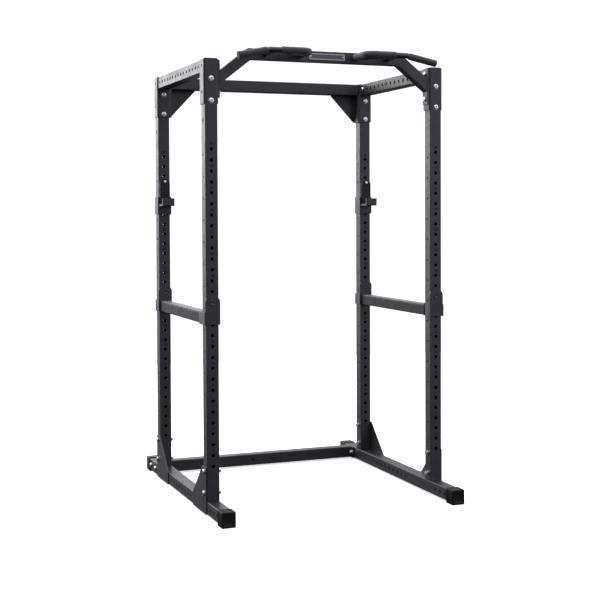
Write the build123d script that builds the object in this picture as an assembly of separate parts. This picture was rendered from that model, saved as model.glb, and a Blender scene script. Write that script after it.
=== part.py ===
from build123d import *
import os
from math import cos, radians, tan

# Power cage: four perforated uprights on two foot rails, with a multi-grip
# pull-up bar, two J-cups and two spotter bars.
# Millimetres. X to the right, Y to the back, Z up, floor at Z = 0.

# ---- frame ----
UPRIGHT_X = 570.0            # centre line of the uprights, left and right
UPRIGHT_Y = 420.0            # centre line of the uprights, front and rear
TUBE = 60.0                  # square tube, outside
TUBE_WALL = 3.0
TUBE_CORNER = 4.0            # outside corner radius
RAIL_BOTTOM = 10.0
RAIL_TOP = RAIL_BOTTOM + TUBE
UPRIGHT_TOP = 2090.0
HALF = TUBE / 2
TOP_RAIL_Z = UPRIGHT_TOP - HALF
FOOT_RAIL_Z = RAIL_BOTTOM + HALF

# ---- numbered levels ----
LEVELS = 30
LEVEL_PITCH = 50.0
FIRST_LEVEL_Z = 230.0
LEVEL_HOLE_R = 8.5
SIDE_HOLE_R = 5.5
SIDE_HOLE_PITCH = 100.0
SIDE_HOLE_FIRST_Z = FIRST_LEVEL_Z + LEVEL_PITCH / 2
SIDE_HOLE_COUNT = 15
ANCHOR_HOLE_Z = 1810.0       # single large hole high on each outer face

# ---- fasteners ----
BOLT_R = 6.0
BOLT_HOLE_R = 6.5
DOME_R = 11.5
DOME_HEIGHT = 6.0
DOME_ROUND = 4.8
SOCKET_FLATS = 8.0
SOCKET_DEPTH = 4.0
WASHER_R = 13.0
WASHER_THICK = 2.0
NUT_FLATS = 19.0
NUT_THICK = 10.0
BOLT_TAIL = 14.0             # shank beyond the last plate
FOOT_BOLT_Z = (105.0, 205.0)
BRACKET_BOLT_Z = (1900.0, 2000.0)
END_PLATE_BOLT_Z = (1940.0, 2060.0)

# ---- top side rails ----
SADDLE_THICK = 5.0
SADDLE_BOTTOM = 1885.0
SADDLE_LIP = 5.0             # flange stops this short of the far face
SADDLE_ROUND = 4.0
TOP_RAIL_END_Y = UPRIGHT_Y - HALF - SADDLE_THICK
RAIL_BOLT_Y = 350.0
RAIL_HOLE_PITCH = 50.0
TOP_RAIL_HOLES = 13
SPIGOT = 53.0
SPIGOT_WALL = 4.0
SPIGOT_CORNER = 4.5
SPIGOT_LENGTH = 60.0
SPIGOT_INSIDE = SPIGOT / 2 - SPIGOT_WALL

# ---- end plates and gussets ----
END_PLATE = 8.0
INNER_X = UPRIGHT_X - HALF
SADDLE_INNER_X = INNER_X - SADDLE_THICK
PLATE_INNER_X = SADDLE_INNER_X - END_PLATE
REAR_PLATE_BOTTOM = 1885.0
GUSSET_THICK = 6.0
GUSSET_REACH = 138.0
GUSSET_NOSE = 4.0             # blunt ends of the triangle
PULL_PLATE_HALF = 86.0
PULL_PLATE_Z = 2000.0
PULL_PLATE_INSET = 5.0

# ---- foot ----
FOOT_HALF = 674.0
FOOT_PLATE = 5.0
FOOT_PLATE_TOP = 225.0
FOOT_PLATE_TOP_WIDTH = 60.0
FOOT_PLATE_SIDE_INSET = 5.0
FOOT_PLATE_END_Y = 227.0
FOOT_RAIL_MID_HOLES = 8
FOOT_RAIL_FRONT_HOLES = 3
FOOT_RAIL_FRONT_Y = 500.0
CAP_WALL = 4.0
CAP_LENGTH = 62.0
CAP_END = 6.0
CAP_ROUND = 3.0
LOW_CROSS_Y = 540.0
LOW_PLATE_HALF = 60.0
LOW_BOLT_Y = 46.0
LOW_BOLTS_Y = (LOW_CROSS_Y - LOW_BOLT_Y, LOW_CROSS_Y + LOW_BOLT_Y)
LOW_CROSS_HOLE_X = 50.0

# ---- top caps ----
TOP_CAP_THICK = 3.0
TOP_CAP_PLUG = 15.0
TOP_CAP_WALL = 4.0
TOP_CAP_ROUND = 1.5
TOP_CAP_PLUG_SIZE = 53.0

# ---- pull-up bar ----
BEAM = 50.0
BEAM_WALL = 3.0
BEAM_FRONT = -UPRIGHT_Y - BEAM / 2
BEAM_Z = 2120.0
BEAM_CORNER_X = 382.0
LEG_ANGLE = 38.0
SIGN_WIDTH = 182.0
SIGN_HEIGHT = 32.0
SIGN_THICK = 3.0
SIGN_CORNER = 3.0
GRIP_R = 13.0
GRIP_WALL = 2.5
GRIP_Y = -600.0
GRIP_Z = 2122.0
GRIP_INNER_X = 142.0
GRIP_BEND_R = 34.0
GRIP_KNEE_X = 336.0
GRIP_TIP_X = 488.0
GRIP_TIP_Z = 2091.0
SLEEVE_R = 16.5
SLEEVE_OUTER_START = 352.0
SLEEVE_INNER_START = 284.0
STRUT_X = 310.0
STRUT_R = 11.0
PLUG_THICK = 3.0
PLUG_STEM = 15.0
SLEEVE_BACK_GAP = 12.0         # bare tube left at the beam

# ---- J-cups ----
PEG_R = 8.0
FIT_GAP = 0.5                # between a moving bracket and the upright
HOOK_PLATE = 6.0
HOOK_TOP_Z = 1568.0
HOOK_WIDE_TOP_Z = 1473.0
HOOK_BOTTOM_Z = 1382.0
HOOK_NARROW_HALF = 28.0
HOOK_FLANGE = 5.0
HOOK_FLANGE_DEPTH = 60.0
HOOK_PEG_Z = FIRST_LEVEL_Z + 26 * LEVEL_PITCH
HOOK_PEG_LENGTH = 40.0
HOOK_REACH = 79.0
HOOK_HALF = 31.0
HOOK_SEAT_Z = 1436.0
HOOK_LIP_Z = 1465.0
HOOK_JAW_Z = 1425.0
HOOK_SHELL = 6.0
HOOK_BEND = 5.0
LINER = 10.0
LINER_HALF = 26.0
LINER_LIP = 6.0
LINER_LIP_DROP = 4.0           # lip pad stops this far under the lip
LINER_TOP_DROP = 2.0           # back pad stops this far under the plate
SCREW_Z = 1552.0
SCREW_R = 7.0
SCREW_HEIGHT = 3.5
SCREW_SHANK_R = 3.0
SCREW_ROUND = 2.0
PEG_CHAMFER = 1.5

# ---- spotter bars ----
SPOTTER_BOTTOM_Z = 880.0
SPOTTER_TUBE = 50.0
SPOTTER_PEG_Z = FIRST_LEVEL_Z + 15 * LEVEL_PITCH
SPOTTER_PEG_LENGTH = 14.0
SPOTTER_PLATE = 5.0
SPOTTER_SIDE_PLATE = 9.0       # outer side of the front bracket
SPOTTER_PLATE_TOP = 1008.0
SPOTTER_WEB_ROUND = 24.0
SPOTTER_FLANGE_TOP = 938.0
SPOTTER_SHALLOW_TOP = 984.0
SPOTTER_SHALLOW_DEPTH = 12.0
SPOTTER_INNER_DEPTH = 52.0
SPOTTER_REAR_DEPTH = 66.0
SPOTTER_FRONT_GAP = 18.0     # upright's rear face to the bar's end plate
STRIP_THICK = 4.0
STRIP_WIDTH = 44.0
STRIP_INSET = 8.0
STRIP_ROUND = 1.5

LEVEL_Z = [FIRST_LEVEL_Z + LEVEL_PITCH * i for i in range(LEVELS)]
SIDE_Z = [SIDE_HOLE_FIRST_Z + SIDE_HOLE_PITCH * i for i in range(SIDE_HOLE_COUNT)]
SIDES = {"left": -1, "right": 1}
ENDS = {"front": -1, "rear": 1}


def block(x0, x1, y0, y1, z0, z1):
    """Box from its opposite corners, given in either order."""
    size = (abs(x1 - x0), abs(y1 - y0), abs(z1 - z0))
    return Pos((x0 + x1) / 2, (y0 + y1) / 2, (z0 + z1) / 2) * Box(*size)


def rod(start, end, radius):
    """Round bar between two points."""
    a, b = Vector(*start), Vector(*end)
    plane = Plane(origin=a, z_dir=(b - a).normalized())
    return extrude(plane * Circle(radius), (b - a).length)


def hole_x(x, y, z, radius, length=TUBE * 3):
    return rod((x - length / 2, y, z), (x + length / 2, y, z), radius)


def hole_y(x, y, z, radius, length=TUBE * 3):
    return rod((x, y - length / 2, z), (x, y + length / 2, z), radius)


def centred_row(count):
    """Positions of a row of rail holes, centred on the rail's middle."""
    first = -(count - 1) / 2 * RAIL_HOLE_PITCH
    return [first + i * RAIL_HOLE_PITCH for i in range(count)]


def square_tube(plane, size, wall, corner, length):
    """Rounded square tube extruded from a plane."""
    outer = extrude(plane * RectangleRounded(size, size, corner), length)
    inner_size = size - 2 * wall
    inner = extrude(plane * RectangleRounded(inner_size, inner_size, corner - wall), length)
    return outer - inner


def profile_x(points, x0, x1):
    """Closed (y, z) outline extruded from x0 to x1."""
    face = Plane.YZ * make_face(Polyline(*points, close=True))
    return Pos(x0, 0, 0) * extrude(face, x1 - x0)


def profile_y(points, y0, y1):
    """Closed (x, z) outline extruded from y0 to y1."""
    face = Plane.XZ * make_face(Polyline(*points, close=True))
    return Pos(0, y1, 0) * extrude(face, y1 - y0)


# ---------------------------------------------------------------- uprights
def upright(sx, sy):
    x, y = sx * UPRIGHT_X, sy * UPRIGHT_Y
    plane = Plane(origin=(x, y, RAIL_TOP))
    body = square_tube(plane, TUBE, TUBE_WALL, TUBE_CORNER, UPRIGHT_TOP - RAIL_TOP)
    cuts = [hole_y(x, y, z, LEVEL_HOLE_R) for z in LEVEL_Z]
    cuts += [hole_y(x, y, z, BOLT_HOLE_R) for z in BRACKET_BOLT_Z]
    cuts += [hole_x(x, y, z, SIDE_HOLE_R) for z in SIDE_Z]
    cuts += [hole_x(x, y, z, BOLT_HOLE_R) for z in FOOT_BOLT_Z + END_PLATE_BOLT_Z]
    cuts.append(hole_x(x + sx * HALF, y, ANCHOR_HOLE_Z, LEVEL_HOLE_R, HALF))
    return body - cuts


def top_cap(sx, sy):
    x, y = sx * UPRIGHT_X, sy * UPRIGHT_Y
    outline = Plane(origin=(x, y, UPRIGHT_TOP)) * RectangleRounded(TUBE, TUBE, TUBE_CORNER)
    lid = extrude(outline, TOP_CAP_THICK)
    lid = fillet(lid.faces().sort_by(Axis.Z)[-1].edges(), TOP_CAP_ROUND)
    half = TOP_CAP_PLUG_SIZE / 2
    hollow = half - TOP_CAP_WALL
    low = UPRIGHT_TOP - TOP_CAP_PLUG
    plug = block(x - half, x + half, y - half, y + half, low, UPRIGHT_TOP)
    plug -= block(x - hollow, x + hollow, y - hollow, y + hollow, low, UPRIGHT_TOP)
    return lid + plug


# ---------------------------------------------------------------- top side rails
def top_rail(sx):
    x = sx * UPRIGHT_X
    plane = Plane(origin=(x, -TOP_RAIL_END_Y, TOP_RAIL_Z), x_dir=(1, 0, 0), z_dir=(0, 1, 0))
    rail = square_tube(plane, TUBE, TUBE_WALL, TUBE_CORNER, 2 * TOP_RAIL_END_Y)
    cuts = [hole_x(x, y, TOP_RAIL_Z, LEVEL_HOLE_R) for y in centred_row(TOP_RAIL_HOLES)]
    cuts += [hole_x(x, sy * RAIL_BOLT_Y, TOP_RAIL_Z, BOLT_HOLE_R) for sy in ENDS.values()]
    return rail - cuts


def saddle(sx, sy):
    """U-bracket hugging an upright, its web on the face that looks into the cage."""
    x, y = sx * UPRIGHT_X, sy * UPRIGHT_Y
    face = y - sy * HALF
    far = y + sy * (HALF - SADDLE_LIP)
    web_back = face - sy * SADDLE_THICK
    wide = HALF + SADDLE_THICK
    body = block(x - wide, x + wide, web_back, far, SADDLE_BOTTOM, UPRIGHT_TOP)
    body -= block(x - HALF, x + HALF, face, y + sy * TUBE, SADDLE_BOTTOM, UPRIGHT_TOP)
    upright_edges = body.edges().filter_by(Axis.Z).group_by(Axis.Y)[0 if sy > 0 else -1]
    body = fillet(upright_edges, SADDLE_ROUND)
    cuts = [hole_y(x, face, z, BOLT_HOLE_R) for z in BRACKET_BOLT_Z]
    cuts += [hole_x(x, y, z, BOLT_HOLE_R) for z in END_PLATE_BOLT_Z]
    return body - cuts


def spigot(sx, sy):
    """Short square tube on the saddle's web that the rail slides over."""
    x = sx * UPRIGHT_X
    start = min(sy * TOP_RAIL_END_Y, sy * (TOP_RAIL_END_Y - SPIGOT_LENGTH))
    plane = Plane(origin=(x, start, TOP_RAIL_Z), x_dir=(1, 0, 0), z_dir=(0, 1, 0))
    body = square_tube(plane, SPIGOT, SPIGOT_WALL, SPIGOT_CORNER, SPIGOT_LENGTH)
    return body - hole_x(x, sy * RAIL_BOLT_Y, TOP_RAIL_Z, BOLT_HOLE_R)


# ---------------------------------------------------------------- rear top crossmember
def rear_top_cross():
    plane = Plane(origin=(-PLATE_INNER_X, UPRIGHT_Y, TOP_RAIL_Z), x_dir=(0, 1, 0), z_dir=(1, 0, 0))
    return square_tube(plane, TUBE, TUBE_WALL, TUBE_CORNER, 2 * PLATE_INNER_X)


def rear_top_plate(sx):
    """End plate of the crossmember, welded to the saddle beside it."""
    return block(sx * PLATE_INNER_X, sx * SADDLE_INNER_X, UPRIGHT_Y - HALF, UPRIGHT_Y + HALF,
                 REAR_PLATE_BOTTOM, UPRIGHT_TOP)


def rear_gusset(sx):
    top = UPRIGHT_TOP - TUBE
    corner, tip = sx * PLATE_INNER_X, sx * (PLATE_INNER_X - GUSSET_REACH)
    points = [(corner, top), (tip, top), (tip, top - GUSSET_NOSE),
              (corner - sx * GUSSET_NOSE, REAR_PLATE_BOTTOM), (corner, REAR_PLATE_BOTTOM)]
    y1 = UPRIGHT_Y + HALF - TUBE_CORNER
    return profile_y(points, y1 - GUSSET_THICK, y1)


# ---------------------------------------------------------------- foot rails
def foot_rail(sx):
    x = sx * UPRIGHT_X
    plane = Plane(origin=(x, -FOOT_HALF, FOOT_RAIL_Z), x_dir=(1, 0, 0), z_dir=(0, 1, 0))
    rail = square_tube(plane, TUBE, TUBE_WALL, TUBE_CORNER, 2 * FOOT_HALF)
    ys = centred_row(FOOT_RAIL_MID_HOLES)
    ys += [-FOOT_RAIL_FRONT_Y - i * RAIL_HOLE_PITCH for i in range(FOOT_RAIL_FRONT_HOLES)]
    cuts = [hole_x(x, y, FOOT_RAIL_Z, LEVEL_HOLE_R) for y in ys]
    cuts += [hole_x(x, y, FOOT_RAIL_Z, BOLT_HOLE_R) for y in LOW_BOLTS_Y]
    return rail - cuts


def foot_plate(sx, sy):
    """Outer gusset plate between an upright and its foot rail."""
    outer = UPRIGHT_Y + HALF - FOOT_PLATE_SIDE_INSET
    top_inner = outer - FOOT_PLATE_TOP_WIDTH
    points = [(sy * outer, RAIL_BOTTOM), (sy * outer, FOOT_PLATE_TOP), (sy * top_inner, FOOT_PLATE_TOP),
              (sy * FOOT_PLATE_END_Y, RAIL_TOP), (sy * FOOT_PLATE_END_Y, RAIL_BOTTOM)]
    x0 = sx * (UPRIGHT_X + HALF)
    x1 = x0 + sx * FOOT_PLATE
    plate = profile_x(points, min(x0, x1), max(x0, x1))
    return plate - [hole_x(x0, sy * UPRIGHT_Y, z, BOLT_HOLE_R) for z in FOOT_BOLT_Z]


def foot_cap(sx, sy):
    """Rubber shoe over the end of a foot rail, its sole on the floor."""
    x = sx * UPRIGHT_X
    inner = sy * (FOOT_HALF + CAP_END - CAP_LENGTH)
    outer = sy * (FOOT_HALF + CAP_END)
    half = HALF + CAP_WALL
    shell = block(x - half, x + half, inner, outer, 0, RAIL_TOP + CAP_WALL)
    far_edges = shell.faces().sort_by(Axis.Y)[-1 if sy > 0 else 0].edges()
    shell = fillet(far_edges, CAP_ROUND)
    return shell - block(x - HALF, x + HALF, inner, sy * FOOT_HALF, RAIL_BOTTOM, RAIL_TOP)


def low_cross():
    start = INNER_X - END_PLATE
    plane = Plane(origin=(-start, LOW_CROSS_Y, FOOT_RAIL_Z), x_dir=(0, 1, 0), z_dir=(1, 0, 0))
    body = square_tube(plane, TUBE, TUBE_WALL, TUBE_CORNER, 2 * start)
    front = LOW_CROSS_Y - HALF
    return body - [hole_y(sx * LOW_CROSS_HOLE_X, front, FOOT_RAIL_Z, SIDE_HOLE_R, HALF)
                   for sx in SIDES.values()]


def low_plate(sx):
    plate = block(sx * (INNER_X - END_PLATE), sx * INNER_X, LOW_CROSS_Y - LOW_PLATE_HALF,
                  LOW_CROSS_Y + LOW_PLATE_HALF, RAIL_BOTTOM, RAIL_TOP)
    return plate - [hole_x(sx * INNER_X, y, FOOT_RAIL_Z, BOLT_HOLE_R) for y in LOW_BOLTS_Y]


# ---------------------------------------------------------------- pull-up bar
def mitre_shift(half):
    """Shift of the beam's corner along X at a height above its centre line."""
    return half * tan(radians(LEG_ANGLE / 2))


def beam_outline(half):
    shift = mitre_shift(half)
    top, low = BEAM_CORNER_X + shift, BEAM_CORNER_X - shift
    return [(-top, BEAM_Z + half), (top, BEAM_Z + half), (low, BEAM_Z - half), (-low, BEAM_Z - half)]


def leg_outline(sx, half):
    shift = mitre_shift(half)
    drop = (PLATE_INNER_X - BEAM_CORNER_X) * tan(radians(LEG_ANGLE))
    rise = half / cos(radians(LEG_ANGLE))
    return [(sx * (BEAM_CORNER_X + shift), BEAM_Z + half), (sx * PLATE_INNER_X, BEAM_Z - drop + rise),
            (sx * PLATE_INNER_X, BEAM_Z - drop - rise), (sx * (BEAM_CORNER_X - shift), BEAM_Z - half)]


def box_section(outline, *args):
    """Tube of the beam's section from an outline function."""
    half = BEAM / 2
    outer = profile_y(outline(*args, half), -UPRIGHT_Y - half, -UPRIGHT_Y + half)
    inner_half = half - BEAM_WALL
    return outer - profile_y(outline(*args, inner_half), -UPRIGHT_Y - inner_half, -UPRIGHT_Y + inner_half)


def pull_plate(sx):
    half = HALF - PULL_PLATE_INSET
    plate = block(sx * PLATE_INNER_X, sx * SADDLE_INNER_X, -UPRIGHT_Y - half, -UPRIGHT_Y + half,
                  PULL_PLATE_Z - PULL_PLATE_HALF, PULL_PLATE_Z + PULL_PLATE_HALF)
    return plate - [hole_x(sx * INNER_X, -UPRIGHT_Y, z, BOLT_HOLE_R) for z in END_PLATE_BOLT_Z]


def sign_plate():
    face = Plane(origin=(0, BEAM_FRONT, BEAM_Z), x_dir=(1, 0, 0), z_dir=(0, -1, 0))
    return extrude(face * RectangleRounded(SIGN_WIDTH, SIGN_HEIGHT, SIGN_CORNER), SIGN_THICK)


def along_slope(sx, x):
    """Point on the sloped outer part of a grip's centre line."""
    slope = (GRIP_Z - GRIP_TIP_Z) / (GRIP_TIP_X - GRIP_KNEE_X)
    return (sx * x, GRIP_Y, GRIP_Z - slope * (x - GRIP_KNEE_X))


def bend_ends(sx):
    """Ends of the bend between the level part and the return to the beam."""
    start = (sx * (GRIP_INNER_X + GRIP_BEND_R), GRIP_Y, GRIP_Z)
    end = (sx * GRIP_INNER_X, GRIP_Y + GRIP_BEND_R, GRIP_Z)
    return start, end


def bent(sx, section):
    """Section of the tube or sleeve carried round the bend."""
    start, end = bend_ends(sx)
    middle = GRIP_BEND_R * (1 - cos(radians(45)))
    arc = ThreePointArc(start, (sx * (GRIP_INNER_X + middle), GRIP_Y + middle, GRIP_Z), end)
    return sweep(Plane(origin=start, z_dir=(-sx, 0, 0)) * section, path=arc)


def grip_bar(sx):
    """Round bar from the tip to the beam, its sloped outer part hollow."""
    tip, knee = along_slope(sx, GRIP_TIP_X), along_slope(sx, GRIP_KNEE_X)
    start, end = bend_ends(sx)
    body = rod(tip, knee, GRIP_R) + Pos(*knee) * Sphere(GRIP_R) + rod(knee, start, GRIP_R)
    body += bent(sx, Circle(GRIP_R))
    body += rod(end, (end[0], BEAM_FRONT, GRIP_Z), GRIP_R)
    return body - rod(tip, knee, GRIP_R - GRIP_WALL)


def sleeve_run(start, end):
    return rod(start, end, SLEEVE_R) - rod(start, end, GRIP_R)


def outer_sleeve(sx):
    return sleeve_run(along_slope(sx, SLEEVE_OUTER_START), along_slope(sx, GRIP_TIP_X))


def inner_sleeve(sx):
    """Sleeve over the level part, round the bend and most of the way to the beam."""
    start, end = bend_ends(sx)
    level = sleeve_run((sx * SLEEVE_INNER_START, GRIP_Y, GRIP_Z), start)
    back = sleeve_run(end, (end[0], BEAM_FRONT - SLEEVE_BACK_GAP, GRIP_Z))
    return level + bent(sx, Circle(SLEEVE_R) - Circle(GRIP_R)) + back


def grip_plug(sx):
    """Round end plug closing the outer sleeve and tube."""
    tip = Vector(*along_slope(sx, GRIP_TIP_X))
    inward = (Vector(*along_slope(sx, GRIP_KNEE_X)) - tip).normalized()
    cap = rod(tuple(tip), tuple(tip - inward * PLUG_THICK), SLEEVE_R)
    stem = rod(tuple(tip), tuple(tip + inward * PLUG_STEM), GRIP_R - GRIP_WALL)
    return cap + stem


def strut(sx):
    """Stand-off between the beam and a grip, its end shaped round the grip tube."""
    x = sx * STRUT_X
    post = rod((x, GRIP_Y, GRIP_Z), (x, BEAM_FRONT, GRIP_Z), STRUT_R)
    return post - hole_x(x, GRIP_Y, GRIP_Z, GRIP_R, TUBE)


# ---------------------------------------------------------------- J-cups
HOOK_FACE = UPRIGHT_Y - HALF - FIT_GAP
HOOK_FRONT = HOOK_FACE - HOOK_PLATE
HOOK_TIP = HOOK_FRONT - HOOK_REACH
JAW_FLOOR = HOOK_JAW_Z + HOOK_SHELL


def hook_jaw(x):
    """Bent flat bar: seat, then a lip standing at its front."""
    inner = HOOK_TIP + HOOK_SHELL
    points = [(HOOK_FRONT, HOOK_JAW_Z), (HOOK_TIP, HOOK_JAW_Z), (HOOK_TIP, HOOK_LIP_Z), (inner, HOOK_LIP_Z),
              (inner, JAW_FLOOR), (HOOK_FRONT, JAW_FLOOR)]
    jaw = profile_x(points, x - HOOK_HALF, x + HOOK_HALF)
    outside = jaw.edges().filter_by(Axis.X).sort_by_distance((x, HOOK_TIP, HOOK_JAW_Z))[0]
    return fillet(outside, HOOK_BEND)


def hook(sx):
    """Steel body of a J-cup: round-topped plate, flanges beside the upright, and the jaw."""
    x = sx * UPRIGHT_X
    wide = HALF + FIT_GAP + HOOK_FLANGE
    narrow = HOOK_NARROW_HALF
    round_z = HOOK_TOP_Z - narrow
    plate = block(x - wide, x + wide, HOOK_FRONT, HOOK_FACE, HOOK_BOTTOM_Z, HOOK_WIDE_TOP_Z)
    plate += block(x - narrow, x + narrow, HOOK_FRONT, HOOK_FACE, HOOK_WIDE_TOP_Z, round_z)
    plate += rod((x, HOOK_FRONT, round_z), (x, HOOK_FACE, round_z), narrow)
    for side in SIDES.values():
        inner = x + side * (HALF + FIT_GAP)
        plate += block(inner, x + side * wide, HOOK_FRONT, HOOK_FACE + HOOK_FLANGE_DEPTH,
                       HOOK_BOTTOM_Z, HOOK_WIDE_TOP_Z)
    plate += hook_jaw(x)
    return plate - hole_y(x, HOOK_FACE, SCREW_Z, SCREW_SHANK_R, HALF)


def hook_liner(sx):
    """Plastic liner in one piece: back pad, bar seat and lip pad."""
    x = sx * UPRIGHT_X
    lip = HOOK_TIP + HOOK_SHELL
    lip_top = HOOK_LIP_Z - LINER_LIP_DROP
    body = block(x - HOOK_HALF, x + HOOK_HALF, lip, HOOK_FRONT, JAW_FLOOR, HOOK_SEAT_Z)
    body += block(x - HOOK_HALF, x + HOOK_HALF, lip, lip + LINER_LIP, HOOK_SEAT_Z, lip_top)
    pad_top = HOOK_TOP_Z - LINER_TOP_DROP - LINER_HALF
    pad_face = HOOK_FRONT - LINER
    body += block(x - LINER_HALF, x + LINER_HALF, pad_face, HOOK_FRONT, HOOK_SEAT_Z, pad_top)
    body += rod((x, pad_face, pad_top), (x, HOOK_FRONT, pad_top), LINER_HALF)
    return body - hole_y(x, HOOK_FRONT, SCREW_Z, SCREW_SHANK_R, TUBE)


def hook_peg(sx):
    x = sx * UPRIGHT_X
    peg = rod((x, HOOK_FACE, HOOK_PEG_Z), (x, HOOK_FACE + HOOK_PEG_LENGTH, HOOK_PEG_Z), PEG_R)
    return chamfer(peg.edges().sort_by(Axis.Y)[-1], PEG_CHAMFER)


def hook_screw(sx):
    x = sx * UPRIGHT_X
    face = HOOK_FRONT - LINER
    head = rod((x, face - SCREW_HEIGHT, SCREW_Z), (x, face, SCREW_Z), SCREW_R)
    head = fillet(head.edges().sort_by(Axis.Y)[0], SCREW_ROUND)
    return head + rod((x, face, SCREW_Z), (x, HOOK_FACE, SCREW_Z), SCREW_SHANK_R)


# ---------------------------------------------------------------- spotter bars
SPOT_WIDE = HALF + FIT_GAP + SPOTTER_PLATE
FRONT_FACE = -UPRIGHT_Y - HALF
FRONT_WEB = FRONT_FACE - FIT_GAP - SPOTTER_PLATE
REAR_WEB = UPRIGHT_Y - HALF - FIT_GAP - SPOTTER_PLATE
BAR_FRONT = -UPRIGHT_Y + HALF + SPOTTER_FRONT_GAP


def spotter_web(x, front):
    """Bracket plate with a rounded top."""
    plate = block(x - SPOT_WIDE, x + SPOT_WIDE, front, front + SPOTTER_PLATE,
                  SPOTTER_BOTTOM_Z, SPOTTER_PLATE_TOP)
    edges = plate.edges().filter_by(Axis.Y).sort_by(Axis.Z)[-2:]
    return fillet(edges, SPOTTER_WEB_ROUND)


def spotter_flange(x, side, front, depth, top, thick=SPOTTER_PLATE):
    inner = x + side * (HALF + FIT_GAP)
    return block(inner, inner + side * thick, front, front + depth, SPOTTER_BOTTOM_Z, top)


def front_bracket(sx):
    x = sx * UPRIGHT_X
    body = spotter_web(x, FRONT_WEB)
    back = BAR_FRONT + SPOTTER_PLATE
    body += spotter_flange(x, sx, FRONT_WEB, back - FRONT_WEB, SPOTTER_FLANGE_TOP, SPOTTER_SIDE_PLATE)
    body += spotter_flange(x, -sx, FRONT_WEB, SPOTTER_INNER_DEPTH, SPOTTER_FLANGE_TOP)
    for side in SIDES.values():
        body += spotter_flange(x, side, FRONT_WEB, SPOTTER_SHALLOW_DEPTH, SPOTTER_SHALLOW_TOP)
    outer, inner = x + sx * SPOT_WIDE, x - sx * SPOTTER_TUBE / 2
    body += block(outer, inner, BAR_FRONT, back, SPOTTER_BOTTOM_Z, SPOTTER_FLANGE_TOP)
    return body


def rear_bracket(sx):
    x = sx * UPRIGHT_X
    body = spotter_web(x, REAR_WEB)
    for side in SIDES.values():
        body += spotter_flange(x, side, REAR_WEB, SPOTTER_REAR_DEPTH, SPOTTER_FLANGE_TOP)
        body += spotter_flange(x, side, REAR_WEB, SPOTTER_SHALLOW_DEPTH, SPOTTER_SHALLOW_TOP)
    return body


def spotter_bar(sx):
    x, z = sx * UPRIGHT_X, SPOTTER_BOTTOM_Z + SPOTTER_TUBE / 2
    start = BAR_FRONT + SPOTTER_PLATE
    plane = Plane(origin=(x, start, z), x_dir=(1, 0, 0), z_dir=(0, 1, 0))
    return square_tube(plane, SPOTTER_TUBE, TUBE_WALL, TUBE_CORNER, REAR_WEB - start)


def spotter_strip(sx):
    x, z = sx * UPRIGHT_X, SPOTTER_BOTTOM_Z + SPOTTER_TUBE
    start = BAR_FRONT + SPOTTER_PLATE + STRIP_INSET
    strip = block(x - STRIP_WIDTH / 2, x + STRIP_WIDTH / 2, start, REAR_WEB - STRIP_INSET, z, z + STRIP_THICK)
    return fillet(strip.faces().sort_by(Axis.Z)[-1].edges(), STRIP_ROUND)


def spotter_pegs(sx):
    x = sx * UPRIGHT_X
    pegs = []
    for web in (FRONT_WEB, REAR_WEB):
        root = web + SPOTTER_PLATE
        peg = rod((x, root, SPOTTER_PEG_Z), (x, root + SPOTTER_PEG_LENGTH, SPOTTER_PEG_Z), PEG_R)
        pegs.append(chamfer(peg.edges().sort_by(Axis.Y)[-1], PEG_CHAMFER))
    return pegs


# ---------------------------------------------------------------- fasteners
def dome_rim(dome, base):
    """Outer circular edge of the head, farthest from the joint."""
    edges = [e for e in dome.edges() if e.geom_type == GeomType.CIRCLE]
    return min(edges, key=lambda e: base.to_local_coords(e.center()).Z)


def hexagon(flats):
    return RegularPolygon(flats / 2, 6, major_radius=False)


def fastener(head, direction, grip):
    """Socket dome-head bolt, two washers and a nut; head is the point under the first washer."""
    base = Plane(origin=head, z_dir=direction)
    under, crown = base.offset(-WASHER_THICK), base.offset(-WASHER_THICK - DOME_HEIGHT)
    dome = extrude(crown * Circle(DOME_R), DOME_HEIGHT)
    dome = fillet(dome_rim(dome, base), DOME_ROUND)
    shank = extrude(under * Circle(BOLT_R), grip + 2 * WASHER_THICK + BOLT_TAIL)
    bolt = dome + shank - extrude(crown * hexagon(SOCKET_FLATS), SOCKET_DEPTH)
    ring = Circle(WASHER_R) - Circle(BOLT_R)
    washers = [extrude(place * ring, WASHER_THICK) for place in (under, base.offset(grip))]
    nut = extrude(base.offset(grip + WASHER_THICK) * (hexagon(NUT_FLATS) - Circle(BOLT_R)), NUT_THICK)
    return bolt, washers, nut


def corner_bolts(sx, sy):
    """Bolts round one upright: node name, head point, direction and thickness gripped."""
    x, y = sx * UPRIGHT_X, sy * UPRIGHT_Y
    outer = x + sx * (HALF + FOOT_PLATE)
    front = y - HALF - (SADDLE_THICK if sy > 0 else 0)
    inner = x - sx * HALF
    rows = [("foot_bolts", (outer, y, z), (-sx, 0, 0), TUBE + FOOT_PLATE) for z in FOOT_BOLT_Z]
    rows += [("saddle_bolts", (x, front, z), (0, 1, 0), TUBE + SADDLE_THICK) for z in BRACKET_BOLT_Z]
    rows.append(("rail_bolts", (inner, sy * RAIL_BOLT_Y, TOP_RAIL_Z), (sx, 0, 0), HALF - SPIGOT_INSIDE))
    if sy < 0:
        grip = END_PLATE + SADDLE_THICK + TUBE_WALL
        rows += [("pullup_bolts", (sx * PLATE_INNER_X, y, z), (sx, 0, 0), grip) for z in END_PLATE_BOLT_Z]
    else:
        head_x, grip = x + sx * HALF, TUBE + END_PLATE
        rows += [("rear_bottom_bolts", (head_x, low_y, FOOT_RAIL_Z), (-sx, 0, 0), grip)
                 for low_y in LOW_BOLTS_Y]
    return rows


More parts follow.
